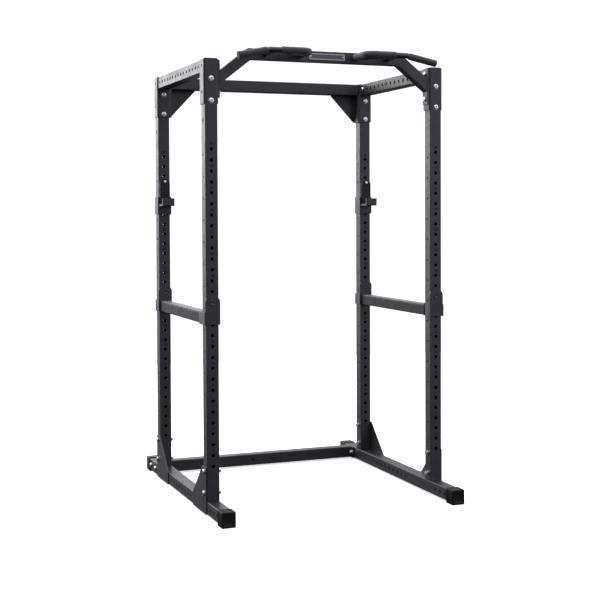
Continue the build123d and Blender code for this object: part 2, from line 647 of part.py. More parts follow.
def main():
    os.makedirs("parts", exist_ok=True)
    nodes = {}

    for side, sx in SIDES.items():
        for end, sy in ENDS.items():
            nodes[f"upright_{end}_{side}"] = [upright(sx, sy)]
        nodes[f"top_rail_{side}"] = [top_rail(sx)]
        nodes[f"foot_rail_{side}"] = [foot_rail(sx)]
        nodes[f"pullup_leg_{side}"] = [box_section(leg_outline, sx)]
        nodes[f"grip_bar_{side}"] = [grip_bar(sx)]
        nodes[f"grip_sleeve_inner_{side}"] = [inner_sleeve(sx)]
        nodes[f"jcup_hook_{side}"] = [hook(sx)]
        nodes[f"jcup_liner_{side}"] = [hook_liner(sx)]
        nodes[f"jcup_peg_{side}"] = [hook_peg(sx)]
        nodes[f"jcup_screw_{side}"] = [hook_screw(sx)]
        nodes[f"spotter_bar_{side}"] = [spotter_bar(sx)]
        nodes[f"spotter_strip_{side}"] = [spotter_strip(sx)]
        nodes[f"spotter_front_bracket_{side}"] = [front_bracket(sx)]
        nodes[f"spotter_rear_bracket_{side}"] = [rear_bracket(sx)]
        nodes[f"spotter_pegs_{side}"] = spotter_pegs(sx)

    corners = [(sx, sy) for sx in SIDES.values() for sy in ENDS.values()]
    nodes["upright_caps"] = [top_cap(*c) for c in corners]
    nodes["rail_saddles"] = [saddle(*c) for c in corners]
    nodes["rail_spigots"] = [spigot(*c) for c in corners]
    nodes["foot_plates"] = [foot_plate(*c) for c in corners]
    nodes["foot_caps"] = [foot_cap(*c) for c in corners]
    nodes["rear_top_crossmember"] = [rear_top_cross()]
    nodes["rear_bottom_crossmember"] = [low_cross()]
    nodes["pullup_beam"] = [box_section(beam_outline)]
    nodes["sign_plate"] = [sign_plate()]
    pairs = {"rear_top_end_plates": rear_top_plate, "rear_top_gussets": rear_gusset,
             "rear_bottom_end_plates": low_plate, "pullup_end_plates": pull_plate,
             "grip_sleeves_outer": outer_sleeve, "grip_plugs": grip_plug, "grip_struts": strut}
    for name, maker in pairs.items():
        nodes[name] = [maker(sx) for sx in SIDES.values()]

    nodes["washers"] = []
    nodes["hex_nuts"] = []
    for corner in corners:
        for name, *place in corner_bolts(*corner):
            bolt, washers, nut = fastener(*place)
            nodes.setdefault(name, []).append(bolt)
            nodes["washers"] += washers
            nodes["hex_nuts"].append(nut)

    for name, solids in nodes.items():
        shape = solids[0] if len(solids) == 1 else Compound(children=list(solids))
        export_step(shape, f"parts/{name}.step")
        box = shape.bounding_box()
        print(name, len(solids), [round(v, 1) for v in (*box.min, *box.max)])


main()
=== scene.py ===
import math
import random

import bmesh
import bpy
from mathutils import Matrix, Vector


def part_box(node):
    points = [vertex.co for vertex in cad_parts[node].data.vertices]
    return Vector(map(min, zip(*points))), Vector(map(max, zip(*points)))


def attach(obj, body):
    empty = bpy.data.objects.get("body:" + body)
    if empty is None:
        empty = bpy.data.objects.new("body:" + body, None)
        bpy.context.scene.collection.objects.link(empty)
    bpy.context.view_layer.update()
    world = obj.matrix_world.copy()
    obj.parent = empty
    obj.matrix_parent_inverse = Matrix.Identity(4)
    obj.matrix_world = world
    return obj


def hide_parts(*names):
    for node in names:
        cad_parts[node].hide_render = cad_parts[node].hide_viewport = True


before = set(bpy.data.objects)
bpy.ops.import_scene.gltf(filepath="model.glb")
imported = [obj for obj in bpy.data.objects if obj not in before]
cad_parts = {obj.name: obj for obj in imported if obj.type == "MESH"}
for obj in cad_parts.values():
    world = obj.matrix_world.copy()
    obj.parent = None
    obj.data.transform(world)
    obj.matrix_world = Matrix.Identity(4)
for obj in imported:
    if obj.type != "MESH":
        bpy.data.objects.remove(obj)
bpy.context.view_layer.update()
rng = random.Random(11)

# ------------------------------------------------------------ frame sizes, metres
UPRIGHT_X, UPRIGHT_Y = 0.570, 0.420
HALF = 0.030                    # half the width of the square tube
FIRST_LEVEL, LEVEL_PITCH, LEVELS = 0.230, 0.050, 30
SPOTTER_LEVELS = range(13, 18)  # level numbers hidden by the spotter brackets
JCUP_LEVELS = range(23, 29)     # and by the J-cups, on the rear uprights
RAIL_LOW, RAIL_HIGH = 0.010, 0.070
TOP_LOW, TOP_HIGH = 2.030, 2.090
PLATE_FACE_X = 0.527            # inner face of the upper end plates
LOW_CROSS_FACE_X, LOW_CROSS_Y = 0.532, 0.540
GUSSET_FACES_Y, GUSSET_LOW = (0.440, 0.446), 1.889
GUSSET_TIP_X = PLATE_FACE_X - 0.138
SADDLE_X, SADDLE_LOW = 0.535, 1.885
SADDLE_LOW_Y = (0.391, 0.444)   # run of the bead along the saddle's lower edge
SADDLE_SIDE_Y, SADDLE_SIDE_Z = 0.390, (1.887, 2.028)
BEAM_Z, BEAM_HALF, MITRE_X = 2.120, 0.025, 0.382
BEAM_FRONT = -UPRIGHT_Y - BEAM_HALF
LEG_SLOPE = math.radians(38)
GRIP_Y, GRIP_Z, GRIP_R = -0.600, 2.122, 0.013
GRIP_INNER_X, GRIP_BEND_R, GRIP_BACK_Y = 0.142, 0.034, -0.457
GRIP_KNEE_X, GRIP_TIP_X, GRIP_TIP_Z = 0.336, 0.488, 2.091
SLEEVE_R = 0.0165
OUTER_SLEEVE_X, INNER_SLEEVE_X = (0.352, 0.4878), 0.284
STRUT_X, STRUT_R = 0.310, 0.011
FOOT_PLATE_X = 0.600
FOOT_PLATE_TOP_Y, FOOT_PLATE_ENDS_Y = (0.226, 0.250, 0.389), (0.2265, 0.4455)
FOOT_PLATE_END_Z = (0.013, 0.067)
PEG_Z, PEG_WELD_R = 0.980, 0.0100
JCUP_PLATE_Y, JCUP_SEAT_Z, JCUP_HALF = 0.3835, (1.425, 1.431), 0.031
ACROSS, UPWARD = Vector((1, 0, 0)), Vector((0, 0, 1))


# ------------------------------------------------------------ camera
def make_camera():
    """Camera in front of the cage, to its left and at chest height, turned 21 degrees."""
    place = Vector((-2.1924, -5.7578, 1.3962))
    yaw, pitch, roll = math.radians(21.10), math.radians(-1.638), math.radians(-0.235)
    forward = Vector((math.sin(yaw), math.cos(yaw), 0.0))
    right = Vector((math.cos(yaw), -math.sin(yaw), 0.0))
    look = forward * math.cos(pitch) + UPWARD * math.sin(pitch)
    tilt_up = UPWARD * math.cos(pitch) - forward * math.sin(pitch)
    side = right * math.cos(roll) + tilt_up * math.sin(roll)
    top = tilt_up * math.cos(roll) - right * math.sin(roll)
    data = bpy.data.cameras.new("camera")
    data.sensor_width = 36.0
    data.lens = 73.056
    data.shift_x = 0.001
    data.shift_y = -0.090
    data.clip_end = 60.0
    camera = bpy.data.objects.new("camera", data)
    bpy.context.scene.collection.objects.link(camera)
    turn = Matrix((side, top, -look)).transposed()
    camera.matrix_world = Matrix.Translation(place) @ turn.to_4x4()
    bpy.context.scene.camera = camera


make_camera()
bpy.context.scene.view_settings.view_transform = "Standard"


# ------------------------------------------------------------ materials
class Nodes:
    """Short way to build one node tree. Values may be sockets, which are linked, or constants."""

    def __init__(self, tree):
        self.tree = tree
        tree.nodes.clear()

    def add(self, kind, values=None, **settings):
        node = self.tree.nodes.new(kind)
        for key, value in settings.items():
            setattr(node, key, value)
        for key, value in (values or {}).items():
            self.put(node.inputs[key], value)
        return node

    def put(self, socket, value):
        if isinstance(value, bpy.types.NodeSocket):
            self.tree.links.new(value, socket)
        else:
            socket.default_value = value

    def math(self, operation, a, b=0.0, c=None):
        values = {0: a, 1: b}
        if c is not None:
            values[2] = c
        return self.add("ShaderNodeMath", values, operation=operation).outputs[0]

    def noise(self, where, scale, detail=3.0, rough=0.5):
        values = {"Vector": where, "Scale": scale, "Detail": detail, "Roughness": rough}
        return self.add("ShaderNodeTexNoise", values).outputs[0]

    def remap(self, value, low, high, to_low, to_high):
        values = {0: value, 1: low, 2: high, 3: to_low, 4: to_high}
        return self.add("ShaderNodeMapRange", values, clamp=True).outputs[0]

    def mix(self, factor, a, b):
        node = self.add("ShaderNodeMix", data_type="RGBA")
        self.put(node.inputs[0], factor)
        self.put(node.inputs[6], a)
        self.put(node.inputs[7], b)
        return node.outputs[2]

    def dot(self, where, direction):
        node = self.add("ShaderNodeVectorMath", {0: where, 1: direction}, operation="DOT_PRODUCT")
        return node.outputs["Value"]

    def stretch(self, where, scale):
        return self.add("ShaderNodeMapping", {"Vector": where, "Scale": scale}).outputs[0]

    def voronoi(self, where, scale, randomness=1.0):
        values = {"Vector": where, "Scale": scale, "Randomness": randomness}
        return self.add("ShaderNodeTexVoronoi", values).outputs["Distance"]

    def open_air(self, distance, samples):
        """1 in the open, towards 0 in a recess narrower than the distance."""
        node = self.add("ShaderNodeAmbientOcclusion", {"Distance": distance}, samples=samples)
        return node.outputs["AO"]

    def bump(self, shader, height, strength, distance, normal=None):
        values = {"Height": height, "Strength": strength, "Distance": distance}
        if normal is not None:
            values["Normal"] = normal
        self.put(shader.inputs["Normal"], self.add("ShaderNodeBump", values).outputs[0])


def rgb(red, green, blue):
    return (red, green, blue, 1.0)


def grey(level):
    return rgb(level, level, level)


def start(name):
    """New material with its nodes, its object coordinates and its shader."""
    material = bpy.data.materials.new(name)
    material.use_nodes = True
    nodes = Nodes(material.node_tree)
    where = nodes.add("ShaderNodeTexCoord").outputs["Object"]
    shader = nodes.add("ShaderNodeBsdfPrincipled")
    out = nodes.add("ShaderNodeOutputMaterial")
    nodes.put(out.inputs["Surface"], shader.outputs[0])
    return material, nodes, where, shader


def edge_mask(nodes, radius):
    """1 where the surface turns over an edge and 0 on the flats, with the softened normal."""
    soft = nodes.add("ShaderNodeBevel", {"Radius": radius}, samples=4).outputs[0]
    true = nodes.add("ShaderNodeNewGeometry").outputs["Normal"]
    return nodes.remap(nodes.dot(soft, true), 0.985, 0.80, 0.0, 1.0), soft


def powder_coat(name, rough_low, rough_high, specular, edge):
    """Satin black powder coat: orange peel, mottling, edges lightened for rubbed wear and as a painted
    highlight, and painted shade darkening its matt recesses.
    """
    material, nodes, where, shader = start(name)
    wear_and_highlight, soft = edge_mask(nodes, edge)
    mottle = nodes.remap(nodes.noise(where, 9.0, 4.0, 0.6), 0.35, 0.65, 0.0, 1.0)
    speck = nodes.noise(where, 900.0, 2.0)
    base = nodes.mix(mottle, rgb(0.0125, 0.0120, 0.0145), rgb(0.0185, 0.0175, 0.0210))
    base = nodes.mix(nodes.remap(speck, 0.55, 0.75, 0.0, 0.5), base, rgb(0.0300, 0.0290, 0.0330))
    patchy = nodes.remap(nodes.noise(where, 60.0, 3.0), 0.40, 0.70, 0.15, 0.75)
    # Edges lightened: partly rubbed wear, partly a painted highlight along them.
    base = nodes.mix(nodes.math("MULTIPLY", wear_and_highlight, patchy), base, rgb(0.105, 0.102, 0.112))
    # Painted shade: ambient occlusion darkens recesses and inner corners to near black, and the same
    # mask makes them matt.
    recess_shade = nodes.remap(nodes.open_air(0.012, 6), 0.25, 0.62, 1.0, 0.0)
    base = nodes.mix(recess_shade, base, rgb(0.004, 0.004, 0.0045))
    nodes.put(shader.inputs["Base Color"], base)
    cloudy = nodes.remap(nodes.noise(where, 26.0, 4.0), 0.3, 0.7, rough_low, rough_high)
    matt = nodes.math("MULTIPLY", recess_shade, 0.95)
    nodes.put(shader.inputs["Roughness"], nodes.math("MAXIMUM", cloudy, matt))
    shader.inputs["Specular IOR Level"].default_value = specular
    peel = nodes.math("ADD", nodes.noise(where, 620.0, 2.0), nodes.math("MULTIPLY", speck, 0.5))
    nodes.bump(shader, peel, 0.22, 0.0004, soft)
    return material


def zinc():
    """Bright zinc plate: cool metal with a faint iridescent cast, with painted shade darkening its
    sockets.
    """
    material, nodes, where, shader = start("zinc_steel")
    cast = nodes.remap(nodes.noise(where, 85.0, 3.0), 0.35, 0.65, 0.0, 1.0)
    bright = nodes.mix(cast, rgb(0.66, 0.69, 0.73), rgb(0.80, 0.79, 0.75))
    # Painted shade: ambient occlusion darkens sockets and recesses to near black.
    lit = nodes.remap(nodes.open_air(0.005, 8), 0.40, 0.85, 0.0, 1.0)
    nodes.put(shader.inputs["Base Color"], nodes.mix(lit, grey(0.020), bright))
    shader.inputs["Metallic"].default_value = 1.0
    fine = nodes.noise(where, 420.0, 3.0)
    nodes.put(shader.inputs["Roughness"], nodes.remap(fine, 0.3, 0.7, 0.20, 0.38))
    nodes.bump(shader, nodes.noise(where, 1500.0, 2.0), 0.10, 0.0002)
    return material


def moulded(name, dark, light, rough, grain, depth, specular=0.5):
    """Moulded plastic or rubber: fine cast grain over a slightly uneven colour."""
    material, nodes, where, shader = start(name)
    _, soft = edge_mask(nodes, 0.0012)
    cloud = nodes.remap(nodes.noise(where, 38.0, 3.0), 0.35, 0.65, 0.0, 1.0)
    pits = nodes.noise(where, grain, 2.0)
    nodes.put(shader.inputs["Base Color"], nodes.mix(cloud, dark, light))
    nodes.put(shader.inputs["Roughness"], nodes.remap(pits, 0.3, 0.7, rough - 0.06, rough + 0.07))
    shader.inputs["Specular IOR Level"].default_value = specular
    nodes.bump(shader, pits, depth, 0.0004, soft)
    return material


def foam():
    """Closed-cell foam sleeve: matt, pebbled skin."""
    material, nodes, where, shader = start("grip_foam")
    cells = nodes.voronoi(where, 620.0)
    cloud = nodes.noise(where, 45.0, 4.0)
    pebbled = nodes.remap(cells, 0.05, 0.6, 0.0, 1.0)
    base = nodes.mix(pebbled, rgb(0.010, 0.010, 0.011), rgb(0.036, 0.035, 0.038))
    base = nodes.mix(nodes.remap(cloud, 0.4, 0.7, 0.0, 0.35), base, rgb(0.050, 0.049, 0.052))
    nodes.put(shader.inputs["Base Color"], base)
    nodes.put(shader.inputs["Roughness"], nodes.remap(cloud, 0.3, 0.7, 0.80, 0.94))
    shader.inputs["Sheen Weight"].default_value = 0.25
    lumps = nodes.math("MULTIPLY", nodes.noise(where, 240.0, 3.0), 0.8)
    nodes.bump(shader, nodes.math("ADD", cells, lumps), 0.45, 0.0007)
    return material


def dimpled_liner():
    """Black J-cup liner with rows of shallow round dimples, with painted shade darkening each dimple.
    """
    material, nodes, where, shader = start("liner_plastic")
    grid = nodes.voronoi(nodes.stretch(where, (1.0, 0.0, 1.0)), 105.0, 0.0)
    dimple_and_shade = nodes.remap(grid, 0.22, 0.34, 1.0, 0.0)
    pits = nodes.noise(where, 700.0, 2.0)
    # Painted shade: the dimples are coloured near black, and the same mask dents them.
    base = nodes.mix(dimple_and_shade, rgb(0.016, 0.0155, 0.017), rgb(0.002, 0.002, 0.0023))
    nodes.put(shader.inputs["Base Color"], base)
    nodes.put(shader.inputs["Roughness"], nodes.remap(pits, 0.3, 0.7, 0.38, 0.52))
    shader.inputs["Specular IOR Level"].default_value = 0.18
    height = nodes.math("SUBTRACT", nodes.math("MULTIPLY", pits, 0.12), dimple_and_shade)
    nodes.bump(shader, height, 0.6, 0.0012)
    return material


def painted(name, low, high, rough, specular=0.5):
    """Thin printed or brushed surface with a fine streak along X."""
    material, nodes, where, shader = start(name)
    lines = nodes.noise(nodes.stretch(where, (30.0, 900.0, 900.0)), 1.0, 3.0)
    colour = nodes.mix(nodes.remap(lines, 0.3, 0.7, 0.0, 1.0), low, high)
    nodes.put(shader.inputs["Base Color"], colour)
    nodes.put(shader.inputs["Roughness"], nodes.remap(lines, 0.3, 0.7, rough - 0.05, rough + 0.06))
    shader.inputs["Specular IOR Level"].default_value = specular
    nodes.bump(shader, lines, 0.08, 0.0002)
    return material


COAT = powder_coat("black_powder_coat", 0.33, 0.45, 0.5, 0.0016)
BAR_COAT = powder_coat("satin_bar_coat", 0.46, 0.58, 0.20, 0.0016)
# Wider lightened edges on the hooks: rubbed wear and a stronger painted highlight.
HOOK_COAT = powder_coat("worn_and_highlit_hook_coat", 0.33, 0.45, 0.5, 0.0026)
ZINC = zinc()
PLASTIC = moulded("black_plastic", grey(0.012), grey(0.020), 0.46, 700.0, 0.20)
LINER = dimpled_liner()
STRIP = moulded("grey_plastic", rgb(0.085, 0.084, 0.088), rgb(0.115, 0.113, 0.118), 0.42, 520.0, 0.12)
RUBBER = moulded("black_rubber", grey(0.003), grey(0.006), 0.44, 420.0, 0.20, 0.20)
FOAM = foam()
SIGN = painted("sign_plate", rgb(0.050, 0.049, 0.056), rgb(0.075, 0.073, 0.082), 0.40)
SIGN_LINE = painted("sign_border", rgb(0.50, 0.49, 0.53), rgb(0.62, 0.61, 0.65), 0.42)
PRINT = painted("level_print", grey(0.003), grey(0.005), 0.80, 0.08)
SLOT_LOOKS = {"black_powder_coat": COAT, "zinc_steel": ZINC, "black_plastic": PLASTIC,
              "grey_plastic": STRIP, "black_rubber": RUBBER, "grip_foam": FOAM, "sign_plate": SIGN}
NODE_LOOKS = {"jcup_liner": LINER, "jcup_hook": HOOK_COAT, "spotter_bar": BAR_COAT}


def look_for(node_name, node):
    """Material of one CAD node, by its name or else by its material slot."""
    for start_of_name, look in NODE_LOOKS.items():
        if node_name.startswith(start_of_name):
            return look
    slots = [s.material.name for s in node.material_slots if s.material]
    for slot, look in SLOT_LOOKS.items():
        if any(name.startswith(slot) for name in slots):
            return look
    return COAT


for node_name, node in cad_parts.items():
    node_look = look_for(node_name, node)
    for material_slot in node.material_slots:
        material_slot.material = node_look


# ------------------------------------------------------------ world and lights
def make_world():
    """White surround: bright behind the cage, at its front right and overhead, dark below."""
    world = bpy.data.worlds.new("studio")
    world.use_nodes = True
    bpy.context.scene.world = world
    nodes = Nodes(world.node_tree)
    where = nodes.add("ShaderNodeTexCoord").outputs["Generated"]
    height = nodes.add("ShaderNodeSeparateXYZ", {0: where}).outputs["Z"]
    behind = nodes.dot(where, (-0.36, 0.93, 0.0))
    back_low = nodes.remap(height, -0.15, 0.12, 0.05, 1.0)
    glow = nodes.math("MULTIPLY", nodes.remap(behind, 0.66, 0.98, 0.0, 2.10), back_low)
    front_right = nodes.dot(where, (0.90, -0.43, 0.0))
    room_low = nodes.remap(height, -0.20, 0.02, 0.06, 1.0)
    room = nodes.math("MULTIPLY", nodes.remap(front_right, 0.62, 0.85, 0.52, 1.40), room_low)
    sky = nodes.remap(height, 0.10, 0.85, 0.0, 0.90)
    strength = nodes.math("ADD", nodes.math("ADD", glow, room), sky)
    camera_ray = nodes.add("ShaderNodeLightPath").outputs["Is Camera Ray"]
    strength = nodes.math("MAXIMUM", strength, nodes.math("MULTIPLY", camera_ray, 1.2))
    tint = nodes.remap(behind, -0.2, 0.7, 0.0, 1.0)
    colour = nodes.mix(tint, rgb(0.97, 0.925, 1.10), rgb(0.99, 0.96, 1.035))
    background = nodes.add("ShaderNodeBackground", {"Color": colour, "Strength": strength})
    out = nodes.add("ShaderNodeOutputWorld")
    nodes.put(out.inputs["Surface"], background.outputs[0])


def area_light(name, place, aim, size, power):
    data = bpy.data.lights.new(name, "AREA")
    data.shape = "RECTANGLE"
    data.size, data.size_y = size
    data.energy = power
    light = bpy.data.objects.new(name, data)
    bpy.context.scene.collection.objects.link(light)
    light.location = place
    light.rotation_euler = (Vector(aim) - Vector(place)).to_track_quat("-Z", "Y").to_euler()
    light.visible_camera = False


def make_floor():
    """Pale floor, seen by the camera but not by bounced or reflected light."""
    material, nodes, where, shader = start("studio_floor")
    cloud = nodes.noise(where, 0.6, 2.0)
    nodes.put(shader.inputs["Base Color"], nodes.mix(cloud, grey(0.86), grey(0.90)))
    shader.inputs["Roughness"].default_value = 0.9
    shader.inputs["Specular IOR Level"].default_value = 0.1
    shader.inputs["Emission Color"].default_value = grey(1.0)
    shader.inputs["Emission Strength"].default_value = 0.62
    mesh = bpy.data.meshes.new("studio_floor")
    mesh.from_pydata([(-4, -2.2, 0), (4, -2.2, 0), (4, 5, 0), (-4, 5, 0)], [], [(0, 1, 2, 3)])
    mesh.materials.append(material)
    floor = bpy.data.objects.new("studio_floor", mesh)
    bpy.context.scene.collection.objects.link(floor)
    floor.visible_diffuse = False
    floor.visible_glossy = False


make_world()
make_floor()
area_light("overhead", (-0.5, 0.4, 4.2), (0, 0, 0), (4.5, 4.5), 100.0)
area_light("back_panel", (-2.6, 5.4, 2.7), (-0.5, 0, 1.9), (3.2, 1.8), 26.0)
area_light("key_left", (-3.6, 2.4, 2.2), (0, 0, 1.0), (2.0, 3.0), 45.0)


# ------------------------------------------------------------ mesh helpers
def finish_piece(name, bm, material, body, smooth=True):
    """Scene object from a mesh, riding on its body, with its material."""
    bmesh.ops.recalc_face_normals(bm, faces=bm.faces)
    mesh = bpy.data.meshes.new(name)
    bm.to_mesh(mesh)
    bm.free()
    mesh.materials.append(material)
    mesh.polygons.foreach_set("use_smooth", [smooth] * len(mesh.polygons))
    piece = bpy.data.objects.new(name, mesh)
    bpy.context.scene.collection.objects.link(piece)
    if smooth:
        mesh.set_sharp_from_angle(angle=math.radians(40))
    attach(piece, body)
    return piece


def resample(points, step):
    """Points along a polyline at an even step, ends kept."""
    lengths = [(b - a).length for a, b in zip(points, points[1:])]
    total = sum(lengths)
    count = max(2, round(total / step))
    made = []
    for i in range(count + 1):
        left = total * i / count
        for (a, b), length in zip(zip(points, points[1:]), lengths):
            if left <= length or (a, b) == (points[-2], points[-1]):
                made.append(a.lerp(b, min(1.0, left / length)))
                break
            left -= length
    return made


def frames_along(points):
    """A centre, side and up direction at each point, carried along without twist."""
    tangents = []
    for i in range(len(points)):
        a, b = points[max(0, i - 1)], points[min(len(points) - 1, i + 1)]
        tangents.append((b - a).normalized())
    side = tangents[0].orthogonal().normalized()
    made = []
    for point, tangent in zip(points, tangents):
        side = (side - tangent * side.dot(tangent)).normalized()
        made.append((point, side, tangent.cross(side)))
    return made


def skin_rings(bm, rings):
    """Quads between successive rings of vertices."""
    for low, high in zip(rings, rings[1:]):
        count = len(low)
        for i in range(count):
            j = (i + 1) % count
            bm.faces.new((low[i], low[j], high[j], high[i]))


def tube_rings(bm, stations, radii, sides, wobble=0.0):
    """A ring of vertices at each station, with its own radius."""
    rings = []
    for (centre, side, up), radius in zip(stations, radii):
        ring = []
        for k in range(sides):
            angle = 2 * math.pi * k / sides
            reach = radius + rng.uniform(-wobble, wobble)
            ring.append(bm.verts.new(centre + (side * math.cos(angle) + up * math.sin(angle)) * reach))
        rings.append(ring)
    return rings


def add_boss(bm, centre, rises, radii, sides):
    """Round boss on a face that looks forward: a ring for each rise and radius, closed at both ends."""
    stations = [(centre - Vector((0, rise, 0)), ACROSS, UPWARD) for rise in rises]
    rings = tube_rings(bm, stations, radii, sides)
    skin_rings(bm, rings)
    bm.faces.new(rings[-1])
    bm.faces.new(rings[0])


# ------------------------------------------------------------ weld beads
BEAD_STEP = 0.0011
RIPPLE = 4                      # steps to one ripple of the bead
BEAD_SIDES, BEAD_JITTER, BEAD_TAPER = 8, 0.00012, 0.35
RING_CORNERS = 24
FRAME_BEAD, MOVING_BEAD, PEG_BEAD = 0.0022, 0.0018, 0.0026
TUBE_BEAD_HALF = HALF - 0.001   # a bead's centre line, just inside the tube's outline
BAR_BEAD_HALF, BAR_BEAD_SINK = 0.0245, 0.0003
FLUSH = 0.003                   # the mitre's beads stop this far under the ground top
PLUG_RISES, PLUG_RADII = (-0.0005, 0.0016, 0.0010, 0.0004), (0.0098, 0.0086, 0.0060, 0.0020)


def add_bead(bm, corners, radius, loop=False):
    """Rippled fillet weld laid along a line of corner points."""
    points = [Vector(c) for c in corners]
    if loop:
        points.append(points[0])
    points = resample(points, BEAD_STEP)
    radii = []
    for i in range(len(points)):
        swell = math.sin(math.pi * (i % RIPPLE) / RIPPLE)
        radii.append(radius * (0.86 + 0.20 * swell) + rng.uniform(-BEAD_JITTER, BEAD_JITTER))
    if not loop:
        radii[0] = radii[-1] = radius * BEAD_TAPER
    rings = tube_rings(bm, frames_along(points), radii, BEAD_SIDES)
    skin_rings(bm, rings)
    bm.faces.new(rings[0])
    bm.faces.new(list(reversed(rings[-1])))


def bead_piece(name, lines, body, radius):
    """One piece holding every bead in a list of (corners, loop)."""
    bm = bmesh.new()
    for corners, loop in lines:
        add_bead(bm, corners, radius, loop)
    finish_piece(name, bm, COAT, body)


def square_loop_x(x, y, z, half):
    """Corner points of a square tube's outline on a plane at one X."""
    return [(x, y - half, z - half), (x, y + half, z - half),
            (x, y + half, z + half), (x, y - half, z + half)]


def square_loop_y(y, x, z, half):
    """The same on a plane at one Y."""
    return [(x - half, y, z - half), (x + half, y, z - half),
            (x + half, y, z + half), (x - half, y, z + half)]


def ring_points(centre, radius):
    """Points round a circle facing Y."""
    axis = Vector((0, 1, 0))
    side = axis.orthogonal().normalized()
    up = axis.cross(side)
    angles = [2 * math.pi * k / RING_CORNERS for k in range(RING_CORNERS)]
    return [tuple(Vector(centre) + (side * math.cos(a) + up * math.sin(a)) * radius) for a in angles]


def crossmember_lines(sx):
    """Beads of the rear crossmembers and the gussets on one side."""
    face, tip = sx * PLATE_FACE_X, sx * GUSSET_TIP_X
    top_z, low_z = (TOP_LOW + TOP_HIGH) / 2, (RAIL_LOW + RAIL_HIGH) / 2
    low_face = sx * LOW_CROSS_FACE_X
    lines = [(square_loop_x(face, UPRIGHT_Y, top_z, TUBE_BEAD_HALF), True),
             (square_loop_x(low_face, LOW_CROSS_Y, low_z, TUBE_BEAD_HALF), True)]
    for y in GUSSET_FACES_Y:
        lines.append(([(tip, y, TOP_LOW), (face, y, TOP_LOW)], False))
        lines.append(([(face, y, TOP_LOW), (face, y, GUSSET_LOW)], False))
    return lines


def pullup_lines(sx):
    """Beads of the pull-up bar's leg and mitre on one side. The mitre is ground flush on top."""
    face = sx * PLATE_FACE_X
    front, back = BEAM_FRONT, -UPRIGHT_Y + BEAM_HALF
    mitre = BEAM_HALF * math.tan(LEG_SLOPE / 2)
    leg_z = BEAM_Z - (PLATE_FACE_X - MITRE_X) * math.tan(LEG_SLOPE)
    rise = BEAM_HALF / math.cos(LEG_SLOPE)
    top_x, low_x = sx * (MITRE_X + mitre), sx * (MITRE_X - mitre)
    top_z, low_z = BEAM_Z + BEAM_HALF - FLUSH, BEAM_Z - BEAM_HALF
    lines = [([(face, front, leg_z - rise), (face, back, leg_z - rise),
               (face, back, leg_z + rise), (face, front, leg_z + rise)], True)]
    for y in (front, back):
        lines.append(([(low_x, y, low_z), (top_x, y, top_z)], False))
    lines.append(([(low_x, front, low_z), (low_x, back, low_z)], False))
    return lines


def saddle_and_grip_lines(sx):
    """Beads of one rear saddle's seam and one grip's tube and strut."""
    x = sx * SADDLE_X
    strut_end = GRIP_Y + GRIP_R * 0.72
    return [([(x, y, SADDLE_LOW) for y in SADDLE_LOW_Y], False),
            ([(x, SADDLE_SIDE_Y, z) for z in SADDLE_SIDE_Z], False),
            (ring_points((sx * STRUT_X, BEAM_FRONT, GRIP_Z), STRUT_R), True),
            (ring_points((sx * STRUT_X, strut_end, GRIP_Z), STRUT_R), True),
            (ring_points((sx * GRIP_INNER_X, BEAM_FRONT, GRIP_Z), GRIP_R), True)]


def foot_plate_lines(sx):
    """Beads where the foot plates meet one foot rail."""
    lines = []
    x = sx * FOOT_PLATE_X
    for sy in (-1, 1):
        lines.append(([(x, sy * y, RAIL_HIGH) for y in FOOT_PLATE_TOP_Y], False))
        for y in FOOT_PLATE_ENDS_Y:
            lines.append(([(x, sy * y, z) for z in FOOT_PLATE_END_Z], False))
    return lines


def frame_welds():
    lines = []
    for sx in (-1, 1):
        lines += crossmember_lines(sx) + pullup_lines(sx)
        lines += saddle_and_grip_lines(sx) + foot_plate_lines(sx)
    bead_piece("frame_weld_beads", lines, "frame", FRAME_BEAD)


def spotter_welds(side, x, rear_face):
    """Beads round both ends of one spotter bar."""
    low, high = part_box(f"spotter_bar_{side}")
    middle_z = (low.z + high.z) / 2
    lines = [(square_loop_y(rear_face - BAR_BEAD_SINK, x, middle_z, BAR_BEAD_HALF), True),
             (square_loop_y(low.y + BAR_BEAD_SINK, x, middle_z, BAR_BEAD_HALF), True)]
    bead_piece(f"spotter_weld_beads_{side}", lines, f"spotter_{side}", MOVING_BEAD)


def jcup_welds(side, x):
    """Beads under and beside one J-cup's seat."""
    y, (low, high) = JCUP_PLATE_Y, JCUP_SEAT_Z
    left, right = x - JCUP_HALF, x + JCUP_HALF
    lines = [([(left, y, low), (right, y, low)], False)]
    lines += [([(edge, y, low), (edge, y, high)], False) for edge in (left, right)]
    bead_piece(f"jcup_weld_beads_{side}", lines, f"jcup_{side}", MOVING_BEAD)


def peg_ends(side, x, web_faces):
    """Plug-welded peg ends showing on the front of the spotter bar's bracket webs."""
    bm = bmesh.new()
    for y in web_faces:
        centre = Vector((x, y, PEG_Z))
        add_bead(bm, ring_points(centre, PEG_WELD_R), PEG_BEAD, True)
        add_boss(bm, centre, PLUG_RISES, PLUG_RADII, 28)
    finish_piece(f"spotter_peg_ends_{side}", bm, COAT, f"spotter_{side}")


def moving_welds():
    for side, sx in (("left", -1), ("right", 1)):
        x = sx * UPRIGHT_X
        front_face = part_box(f"spotter_front_bracket_{side}")[0].y
        rear_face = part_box(f"spotter_rear_bracket_{side}")[0].y
        spotter_welds(side, x, rear_face)
        jcup_welds(side, x)
        peg_ends(side, x, (front_face, rear_face))


# ------------------------------------------------------------ foam grips
SLEEVE_STEP = 0.0022
LIP, LIP_SQUEEZE = 0.0034, 0.0030
BEND_STEPS = 16


